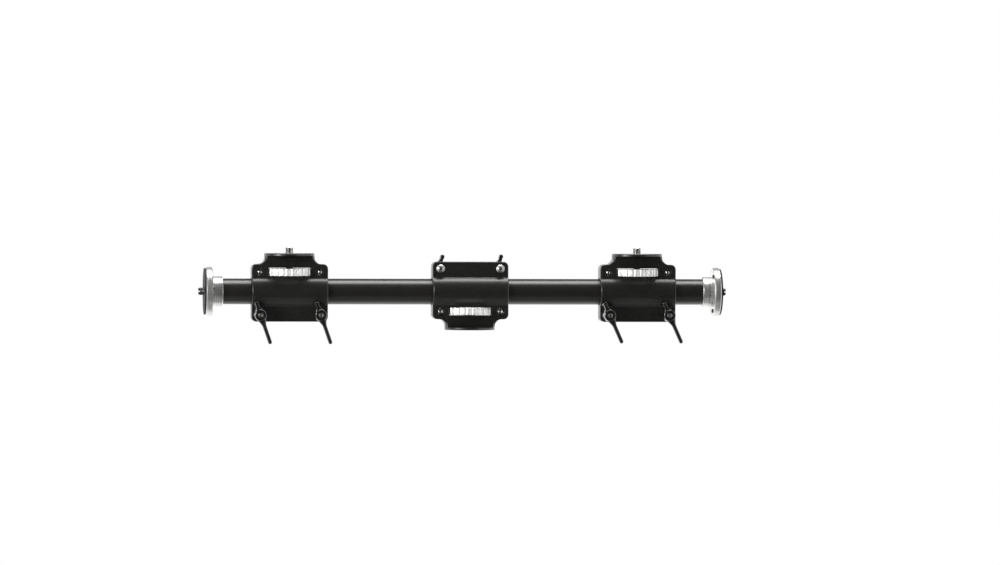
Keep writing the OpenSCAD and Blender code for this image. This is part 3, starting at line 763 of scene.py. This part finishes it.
def slotted_prong(side, tip_z, count=40):
    """One of the prongs beside the slot: the thread's arc from one edge of the slot to the other."""
    climb = np.append(np.arange(SLOT_FLOOR - 0.4, tip_z, PITCH / 12), tip_z)
    cap = np.clip(STUD_R - PRONG_CHAMFER + (tip_z - climb), 0, STUD_R)
    open_angle = np.arcsin(HALF_SLOT / cap)[:, None]
    angle = open_angle + (np.pi - 2 * open_angle) * np.linspace(0, 1, count)
    phase = (climb[:, None] / PITCH - angle / (2 * np.pi) - (0 if side > 0 else 0.5)) % 1.0
    radius = np.minimum(STUD_R - PRONG_THREAD_DEPTH * (1 - ridge(phase)), cap[:, None])
    across = radius * np.cos(angle)
    away = np.maximum(radius * np.sin(angle), HALF_SLOT)
    height = np.repeat(climb[:, None], count, axis=1)
    ring = np.stack([away * side, across * side, height], axis=-1)
    middle = np.repeat(ring.mean(axis=1, keepdims=True), count, axis=1)
    points = np.concatenate([middle[:1], ring, middle[-1:]]).reshape(-1, 3)
    return points, grid_faces(len(climb) + 2, count)


for end in END_X:
    stem = threaded_stud(END_STUD_FOOT, 0.0, SLOT_FLOOR, chamfer=0.0)
    prongs = [slotted_prong(side, STUD_OUT) for side in (1, -1)]
    stud = placed(joined(stem, *prongs), end_frame(end) @ turn("x", 180))
    make_piece(end + "_slotted_stud", stud, "black_steel", "bar", [end + "_end_stud"], 50)
    print(end, "end stud has a slot", 2 * HALF_SLOT, "wide and", STUD_OUT - SLOT_FLOOR, "deep")

# %% [markdown]
# The bush in the centre clamp is the same thread turned inside out: the ring's inner wall follows
# the helix, so that a 3/8 inch stud can be screwed into it from below.

# %% Threaded bush
BUSH_R = 7.0
BUSH_BORE_R = 4.85
BUSH_THREAD_DEPTH = 0.8


def threaded_bush(foot_z, face_z):
    """A bush along +Z: plain outside with small chamfers, and a thread whose crests point inwards."""
    climb = np.append(np.arange(foot_z + 0.8, face_z - 0.8, PITCH / 10), face_z - 0.8)
    inner = thread_radius(climb, BUSH_BORE_R, BUSH_THREAD_DEPTH, foot_z, face_z)
    mouth, chamfered = BUSH_BORE_R + 0.3, BUSH_R - 0.5
    radii = list(inner) + [mouth, chamfered, BUSH_R, BUSH_R, chamfered, mouth, inner[0]]
    heights = list(climb) + [face_z, face_z, face_z - 0.5, foot_z + 0.5, foot_z, foot_z, climb[0]]
    return ring_stack(radii, heights)


bush = placed(threaded_bush(WHEEL_Z, AXIS_H), clamp_frame("centre"))
make_piece("centre_threaded_bush", bush, "zinc_steel", "centre_wheel", ["centre_bush"], 50)
print("the bush has", len(bush[1]), "faces")

# %% [markdown]
# The finger wheel is a disc with 24 flutes. A flute is a round cutter's path, so along each angle
# the rim ends at the nearer of the disc's own edge and the cutter's circle, and a small rounding
# joins them.

# %% Finger wheels
WHEEL_R = 27.5
WHEEL_T = 9.0
FLUTES = 24
FLUTE_DEPTH = 0.9
FLUTE_EDGE = 0.35
CUTTER_R = 2.0
FIT = 0.05
FAR_AWAY = 99.0


def finger_wheel(hole_r):
    """A fluted disc along +Z with rounded edges."""
    count = FLUTES * 18
    from_flute = (angles(count) + np.pi / FLUTES) % (2 * np.pi / FLUTES) - np.pi / FLUTES
    away = WHEEL_R - FLUTE_DEPTH + CUTTER_R
    inside = np.maximum(CUTTER_R**2 - (away * np.sin(from_flute)) ** 2, 0)
    cut = np.where(inside > 0, away * np.cos(from_flute) - np.sqrt(inside), FAR_AWAY)

    def rim(radius):
        return -larger(np.full(count, -radius), -cut, FLUTE_EDGE)

    edge = [rim(WHEEL_R - inset) for inset in (1.3, 0.7, 0.2, 0.0)]
    rises = np.array([0.0, 0.12, 0.45, 0.95])
    chamfer = 0.4
    face = [hole_r + chamfer, 10, 20]
    radii = [hole_r, *face, *edge, edge[-1], *edge[::-1], *face[::-1], hole_r, hole_r]
    heights = [chamfer, 0, 0, 0, *rises, WHEEL_T / 2, *(WHEEL_T - rises[::-1])]
    heights += [WHEEL_T, WHEEL_T, WHEEL_T, WHEEL_T - chamfer, chamfer]
    return ring_stack(radii, heights, count)


for clamp in CLAMPS:
    hole_r = (BUSH_R if clamp == "centre" else SHANK_R) + FIT
    wheel = placed(finger_wheel(hole_r), clamp_frame(clamp) @ shift(0, 0, WHEEL_Z))
    make_piece(clamp + "_finger_wheel", wheel, "wheel_silver", clamp + "_wheel", [clamp + "_wheel"])
print("a finger wheel has", len(wheel[1]), "faces")

# %% [markdown]
# ## Fasteners
# The clamp bolts have domed heads. The two screws above the bar lie in recesses, with a nut on the
# other side. The screws that lock a head on each flange are black, and stand a little proud of its
# inner face.

# %% Bolts, screws and nuts
NUT_SEAT = 9.4
PAD_T = 2.0
FLANGE_FACE = 10.0
LOCK_SCREW_OUT = 1.7
LOCK_SCREW_R = 25.0
LOCK_SCREW_TURNS = [21, 141, 261]


def hexagon_nut(across, height, hole_r):
    """A nut along +Z: hexagonal, with its corners turned off and a dome on top, round a hole with a
    chamfer. The dome falls with the square of the radius."""
    flats = hexagon(across)
    turned = np.minimum(flats, across / 2 * 0.93)
    mouth = hole_r + 0.3
    shares = np.linspace(1, 0, 6)
    dome = [mouth + (turned - mouth) * share for share in shares]
    radii = [hole_r, mouth, turned, flats, flats, *dome, hole_r, hole_r]
    heights = [0.3, 0, 0, 0.3, height - 1.3, *(height - 1.1 * shares**2), height - 0.4, 0.3]
    return ring_stack(radii, heights)


BOLT = socket_screw(shank_r=3.0, tip_z=-15.7, head_r=5.25, head_z=11.0, top_z=14.3, dome=2.3,
                    socket=2.9)
SCREW = socket_screw(shank_r=2.0, tip_z=-12.2, head_r=3.5, head_z=8.6, top_z=12.6, dome=1.7,
                     socket=2.5)
NUT = hexagon_nut(across=8.08, height=3.2, hole_r=2.05)
OUT_BACK = turn("x", -90)
ABOVE_BAR = shift(0, 0, SCREW_Z)
FASTENERS = [
    ("_domed_bolts", BOLT, "zinc_steel", shift(0, 0, BOLT_Z) @ OUT_BACK, "_clamp_bolts"),
    ("_socket_screws", SCREW, "bolt_chrome", ABOVE_BAR @ turn("x", 90), "_shoulder_screws"),
    ("_hexagon_nuts", NUT, "bolt_chrome", ABOVE_BAR @ OUT_BACK @ shift(0, 0, NUT_SEAT),
     "_shoulder_nuts"),
]
for clamp in CLAMPS:
    sides = [clamp_frame(clamp) @ shift(side * BOLT_X, 0, 0) for side in (-1, 1)]
    for name, part, finish, place, node in FASTENERS:
        pair = joined(*[placed(part, side @ place) for side in sides])
        make_piece(clamp + name, pair, finish, clamp + "_clamp", [clamp + node])

lock_screw = socket_screw(shank_r=2.3, tip_z=PAD_T + 0.4, head_r=2.5, head_z=PAD_T + 1.0,
                          top_z=FLANGE_FACE + LOCK_SCREW_OUT, dome=0.3, socket=2.5)
lock_places = [end_frame(end) @ turn("z", angle) @ shift(LOCK_SCREW_R, 0, 0)
               for end in END_X for angle in LOCK_SCREW_TURNS]
lock_screws = joined(*[placed(lock_screw, place) for place in lock_places])
make_piece("head_lock_set_screws", lock_screws, "black_steel", "bar", ["head_lock_screws"])
print("lock screws", len(lock_places))

# %% [markdown]
# ## The levers
# An indexing lever is a small zinc casting. A tapered hub holds the splined insert, the spring and
# the screw. A wedge leaves the hub at a tangent and thins into the round handle, and a short arm
# with a lobe points the other way. The hub is a stack of rings that turns inwards and down the
# inside of its own bore. The wedge and the arm are rounded sections carried along a straight line.

# %% Sections carried along a line
HUB_WALL = 5.9


def carried(distance, half_wide, half_tall, power, start, direction, count=40):
    """Rounded sections across a line: each is a superellipse with its own half width along X, half
    height and power. The first section comes twice, and the outermost ones shrink to points. Near the
    hub the sections bend round its bore: no point is nearer to the bolt than HUB_WALL."""
    angle = angles(count)
    c, s = np.cos(angle), np.sin(angle)
    sizes = np.broadcast_arrays(distance, half_wide, half_tall, power)
    distance, half_wide, half_tall, power = (np.append(size[0], size)[:, None] for size in sizes)
    half_wide[[0, -1]], half_tall[[0, -1]] = 0.0, 0.0
    across = np.sign(c) * np.abs(c) ** (2 / power) * half_wide
    raised = np.sign(s) * np.abs(s) ** (2 / power) * half_tall
    away = np.maximum(distance, circle_height(HUB_WALL, across))
    line = np.array(start) + away[..., None] * np.array(direction)
    lift = np.cross([1.0, 0.0, 0.0], direction)
    points = line + across[..., None] * np.array([1.0, 0, 0]) + raised[..., None] * lift
    return points.reshape(-1, 3), grid_faces(len(distance), count)


def eased(value, low, high):
    """0 below low, 1 above high and a smooth rise between."""
    share = np.clip((value - low) / (high - low), 0, 1)
    return share * share * (3 - 2 * share)


print("a smooth rise passes", float(eased(0.5, 0, 1)), "at its middle")

# %% [markdown]
# The hub, the handle and the arm are worked out in the lever's own frame, with the bolt along Z,
# and overlap inside the hub's wall. The hub comes first: its rings go up the outside and come back
# down inside, over the spring's bore, the ledge that the spring presses on, and the splines.

# %% Lever hub
HUB_FOOT = 12.6
HUB_TOP = 34.6
HUB_EDGE = 1.3
LEDGE_FOOT = 20.6
SPLINE_FOOT = 17.6
SPRING_FOOT = 22.8
SPRING_TOP = 30.3
SPRING_BORE_R = 4.55
LEDGE_BORE_R = 2.35
FOOT_BORE_R = 6.35
SPLINES = 12


def lever_hub():
    """The hub's rings: the outside, the top edge, the spring's bore, its ledge and the splined bore."""
    count = 96
    spline = 4.95 + 0.4 * np.cos(SPLINES * angles(count))
    radii = [6.4, 7.6, 7.95, 7.7, 7.35]
    heights = [HUB_FOOT, HUB_FOOT, HUB_FOOT + 0.4, 19.0, 28.0]
    r, h = rounded_edge(5.9, HUB_TOP - HUB_EDGE, HUB_EDGE, 5, 90, 8)
    radii += r + [4.8, SPRING_BORE_R, SPRING_BORE_R, LEDGE_BORE_R, LEDGE_BORE_R]
    heights += h + [HUB_TOP, HUB_TOP - 0.3, SPRING_FOOT, SPRING_FOOT, LEDGE_FOOT]
    radii += [spline, spline, FOOT_BORE_R, FOOT_BORE_R, 6.4]
    heights += [LEDGE_FOOT, SPLINE_FOOT, SPLINE_FOOT, HUB_FOOT + 0.3, HUB_FOOT]
    return ring_stack(radii, heights, count)


print("the hub has", len(lever_hub()[1]), "faces")

# %% [markdown]
# Seen along the bolt the wedge has two straight sides that leave the hub at a tangent. They meet
# the rod with a small fillet, and the rod thins a little towards a half round tip.

# %% Lever handle
HANDLE_Z = 30.0
HANDLE_LEN = 35.2
HANDLE_ROOT_R = 2.5
HANDLE_TIP_R = 2.4
HANDLE_LEAN = math.radians(4)
WEDGE_END = 12.66
WEDGE_SLOPE = 0.43
WEDGE_FILLET = 1.2


def lever_handle():
    """Wedge and handle: the half width falls from the hub's tangent to the rod, up to the tip."""
    tip = HANDLE_LEN + HANDLE_TIP_R * np.sin(np.linspace(0, np.pi / 2, 8)[1:])
    t = np.concatenate([np.linspace(3.0, 14.5, 22), np.linspace(15.5, HANDLE_LEN, 16), tip])
    rod = np.interp(t, [0, HANDLE_LEN], [HANDLE_ROOT_R, HANDLE_TIP_R])
    wide = larger(HANDLE_ROOT_R + (WEDGE_END - t) * WEDGE_SLOPE, rod, WEDGE_FILLET)
    tall = rod + 0.7 * (1 - eased(t, 4.0, 14.0))
    end = np.where(t > HANDLE_LEN, circle_height(HANDLE_TIP_R, t - HANDLE_LEN), FAR_AWAY)
    wide, tall = np.minimum(wide, end), np.minimum(tall, end)
    power = 2.8 + 0.4 * (1 - eased(t, 8, 18))
    along = (0, -math.cos(HANDLE_LEAN), math.sin(HANDLE_LEAN))
    return carried(t, wide, tall, power, (0, 0, HANDLE_Z), along)


print("the handle has", len(lever_handle()[1]), "faces")

# %% [markdown]
# The short arm is nearly a box on edge, so its sections get a high power. The rim on its lobe is a
# ring of rounded section, a piece of the same casting.

# %% Lever arm, and the whole lever
ARM_Z = 25.6
ARM_HALF_TALL = 7.0
BOXY = 7.0
LOBE_Y = 15.0
LOBE_R = 2.8
LOBE_START = 12.3
WAIST_HALF = 2.4


def lever_arm():
    """Short arm: waist, then a round lobe, with a rim raised on the lobe's face. The rim's first ring
    comes again at its end, which closes it."""
    lobe = LOBE_Y + LOBE_R * np.sin(np.linspace(-0.6, np.pi / 2, 14))
    t = np.concatenate([np.linspace(5.0, 13.2, 12), lobe])
    waist = WAIST_HALF + 2.9 * (1 - eased(t, 5.0, 10.5))
    round_end = np.maximum(np.where(t < LOBE_Y, waist, 0), circle_height(LOBE_R, t - LOBE_Y))
    wide = np.where(t > LOBE_START, round_end, waist)
    arm = carried(t, wide, ARM_HALF_TALL, BOXY, (0, 0, ARM_Z), (0, 1, 0))
    rim = ring_stack([0.9, 1.0, 1.2, 1.8, 2.0, 2.1, 1.5, 0.9],
                     [32.2, 32.7, 32.9, 32.9, 32.7, 32.2, 32.0, 32.2], 40)
    return joined(arm, placed(rim, shift(0, LOBE_Y, 0)))


LEVER = joined(lever_hub(), lever_handle(), lever_arm())
print("a lever has", len(LEVER[1]), "faces")

# %% [markdown]
# The spring under the screw's head pulls the lever back on its splines. It is a wire on a helix,
# between the ledge in the hub and the screw.


# %% Springs, screws and levers in their places
def coil_spring(low, high, mean_r, wire_r, turns):
    """A wire carried round a helix, its section laid out along the radius and straight up."""
    count, around = int(turns * 30), 12
    share = np.concatenate([[0.0], np.linspace(0, 1, count), [1.0]])
    size = np.concatenate([[0.0], np.full(count, wire_r), [0.0]])[:, None, None]
    angle = 2 * np.pi * turns * share
    climb = low + wire_r + (high - low - 2 * wire_r) * share
    out = np.column_stack([np.cos(angle), np.sin(angle), 0 * angle])
    up = np.array([0, 0, 1.0])
    section = angles(around)[None, :, None]
    offset = (out[:, None, :] * np.cos(section) + up * np.sin(section)) * size
    centre = out * mean_r + climb[:, None] * up
    return (centre[:, None, :] + offset).reshape(-1, 3), grid_faces(count + 2, around)


SPRING = coil_spring(SPRING_FOOT, SPRING_TOP, mean_r=3.75, wire_r=0.5, turns=3.2)
KEEPER = socket_screw(shank_r=2.0, tip_z=16.7, head_r=4.2, head_z=SPRING_TOP, top_z=SPRING_TOP + 3.0,
                      dome=0.9, socket=4.0)
for clamp in CLAMPS:
    for side, letter in ((-1, "a"), (1, "b")):
        base = lever_frame(clamp, side)
        name = clamp + "_lever_" + letter
        seat = clamp + "_insert_" + letter
        make_piece(name + "_casting", placed(LEVER, base), "lever_black", name, [name], 40)
        screw_name = clamp + "_keeper_screw_" + letter
        make_piece(screw_name, placed(KEEPER, base), "zinc_steel", seat, [clamp + "_keeper_" + letter])
        coil_name = clamp + "_coil_" + letter
        held = [clamp + "_spring_" + letter]
        spring = make_piece(coil_name, placed(SPRING, base), "zinc_steel", seat, held)
        anchor = (base @ np.array([0, 0, SPRING_TOP, 1.0]))[:3] * MM
        name + "_lift"
        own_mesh(spring)
    print(clamp, "levers in place")

# %% [markdown]
# ## Solids that stay
# The tube, flanges, pads, washers, inserts, liners and grub screws already have their real shape,
# so they keep their solid and only get a finish.

# %% Finishes of the solids that stay
KEPT = {
    "anodised_black": ["tube"],
    "turned_silver": ["left_end_flange", "right_end_flange"],
    "rubber_black": ["left_end_pad", "right_end_pad"],
    "black_steel": ["hub_grub_screws"],
    "nylon_dark": ["left_liner", "centre_liner", "right_liner"],
    "zinc_steel": [clamp + name for clamp in CLAMPS
                   for name in ("_lever_washers", "_insert_a", "_insert_b")],
}
for finish, nodes in KEPT.items():
    for node in nodes:
        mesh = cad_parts[node].data
        if not mesh.materials:
            mesh.materials.append(FINISHES[finish])
        for index in range(len(mesh.materials)):
            mesh.materials[index] = FINISHES[finish]
print("solids that stay", sum(len(nodes) for nodes in KEPT.values()))

# %% [markdown]
# ## The studio
# The bar was shot against white, under one long soft light overhead, with a second from the left.
# Most of the room on the camera's side is dark, which is what the metal shows. The world is that
# room. It is bright behind the bar and only dim above that backdrop. In front it is dark, with a
# pale strip far to each side and a dull floor. The camera itself sees plain white, and surfaces
# that scatter light get an even half. A pale floor far below takes the shadow.

# %% World
BACKDROP = 1.5
ABOVE_BACKDROP = 0.25
FRONT = 0.045
EVEN_LIGHT = 0.5
scene = bpy.context.scene
world = bpy.data.worlds.new("studio")
scene.world = world
world.use_nodes = True
tree = world.node_tree
background = tree.nodes["Background"]
start = Wire(tree)
look = start.node("ShaderNodeTexCoord", output="Generated")
across, depth, height = look.part("x"), look.part("y"), look.part("z")
behind = depth.eased(-0.05, 0.45)
backdrop = BACKDROP - (BACKDROP - ABOVE_BACKDROP) * height.eased(0.2, 0.36)
below = (0.0 - height).eased(0.64, 0.76)
leftward = (0.0 - across).eased(0.48, 0.68) * (0.0 - depth).eased(0.0, 0.3)
rightward = across.eased(0.4, 0.7)
front = FRONT + 0.3 * below + 1.5 * leftward + 1.4 * rightward
room = front + (backdrop - front) * behind
seen = start.node("ShaderNodeLightPath", output="Is Camera Ray")
mirrored = start.node("ShaderNodeLightPath", output="Is Glossy Ray")
strength = seen + (1.0 - seen) * (mirrored * room + (1.0 - mirrored) * EVEN_LIGHT)
tree.links.new(strength.socket, background.inputs["Strength"])
background.inputs["Color"].default_value = (1, 1, 1, 1)
print("the world has", len(tree.nodes), "nodes")

# %% [markdown]
# The floor is a wide plain sheet that no mirror shows. Seen by the camera it fades into the white
# of the world, so that no horizon line appears.

# %% Floor and lamps
FLOOR_Z = -0.45
FLOOR_HALF = 60.0
corners = FLOOR_HALF * np.array([[-1, -1], [1, -1], [1, 1], [-1, 1]])
floor_mesh = bpy.data.meshes.new("floor")
floor_mesh.from_pydata(np.column_stack([corners, np.full(4, FLOOR_Z)]).tolist(), [], [[0, 1, 2, 3]])
floor = bpy.data.objects.new("floor", floor_mesh)
scene.collection.objects.link(floor)
floor.visible_glossy = False
pale = {"Base Color": (0.9, 0.9, 0.9, 1), "Roughness": 0.9}
shader, place = start_finish("floor", pale)
white = place.node("ShaderNodeEmission", {"Color": (1, 1, 1, 1), "Strength": 1.0})
eye = place.node("ShaderNodeLightPath", output="Is Camera Ray")
from_middle = place.vector("LENGTH", output="Value")
glow = eye * (0.93 + 0.07 * from_middle.eased(0.9, 2.2))
sheet = Wire(place.tree, shader.outputs[0])
blend = place.node("ShaderNodeMixShader", {0: glow, 1: sheet, 2: white})
place.tree.links.new(blend.socket, place.tree.nodes["Material Output"].inputs["Surface"])
floor_mesh.materials.append(FINISHES["floor"])


def soft_light(name, place, target, wide, tall, watts):
    """A rectangular lamp that faces its target."""
    lamp = bpy.data.lights.new(name, "AREA")
    lamp.shape = "RECTANGLE"
    lamp.size = wide
    lamp.size_y = tall
    lamp.energy = watts
    holder = bpy.data.objects.new(name, lamp)
    holder.location = place
    holder.rotation_euler = (Vector(target) - Vector(place)).to_track_quat("-Z", "Y").to_euler()
    holder.visible_camera = False
    scene.collection.objects.link(holder)


soft_light("overhead", (0.0, 0.08, 1.25), (0.0, 0.0, 0.0), wide=1.5, tall=0.66, watts=29.0)
soft_light("left_box", (-1.7, -1.0, 0.45), (0.0, 0.0, 0.05), wide=0.45, tall=0.6, watts=24.0)
scene.view_settings.view_transform = "Standard"
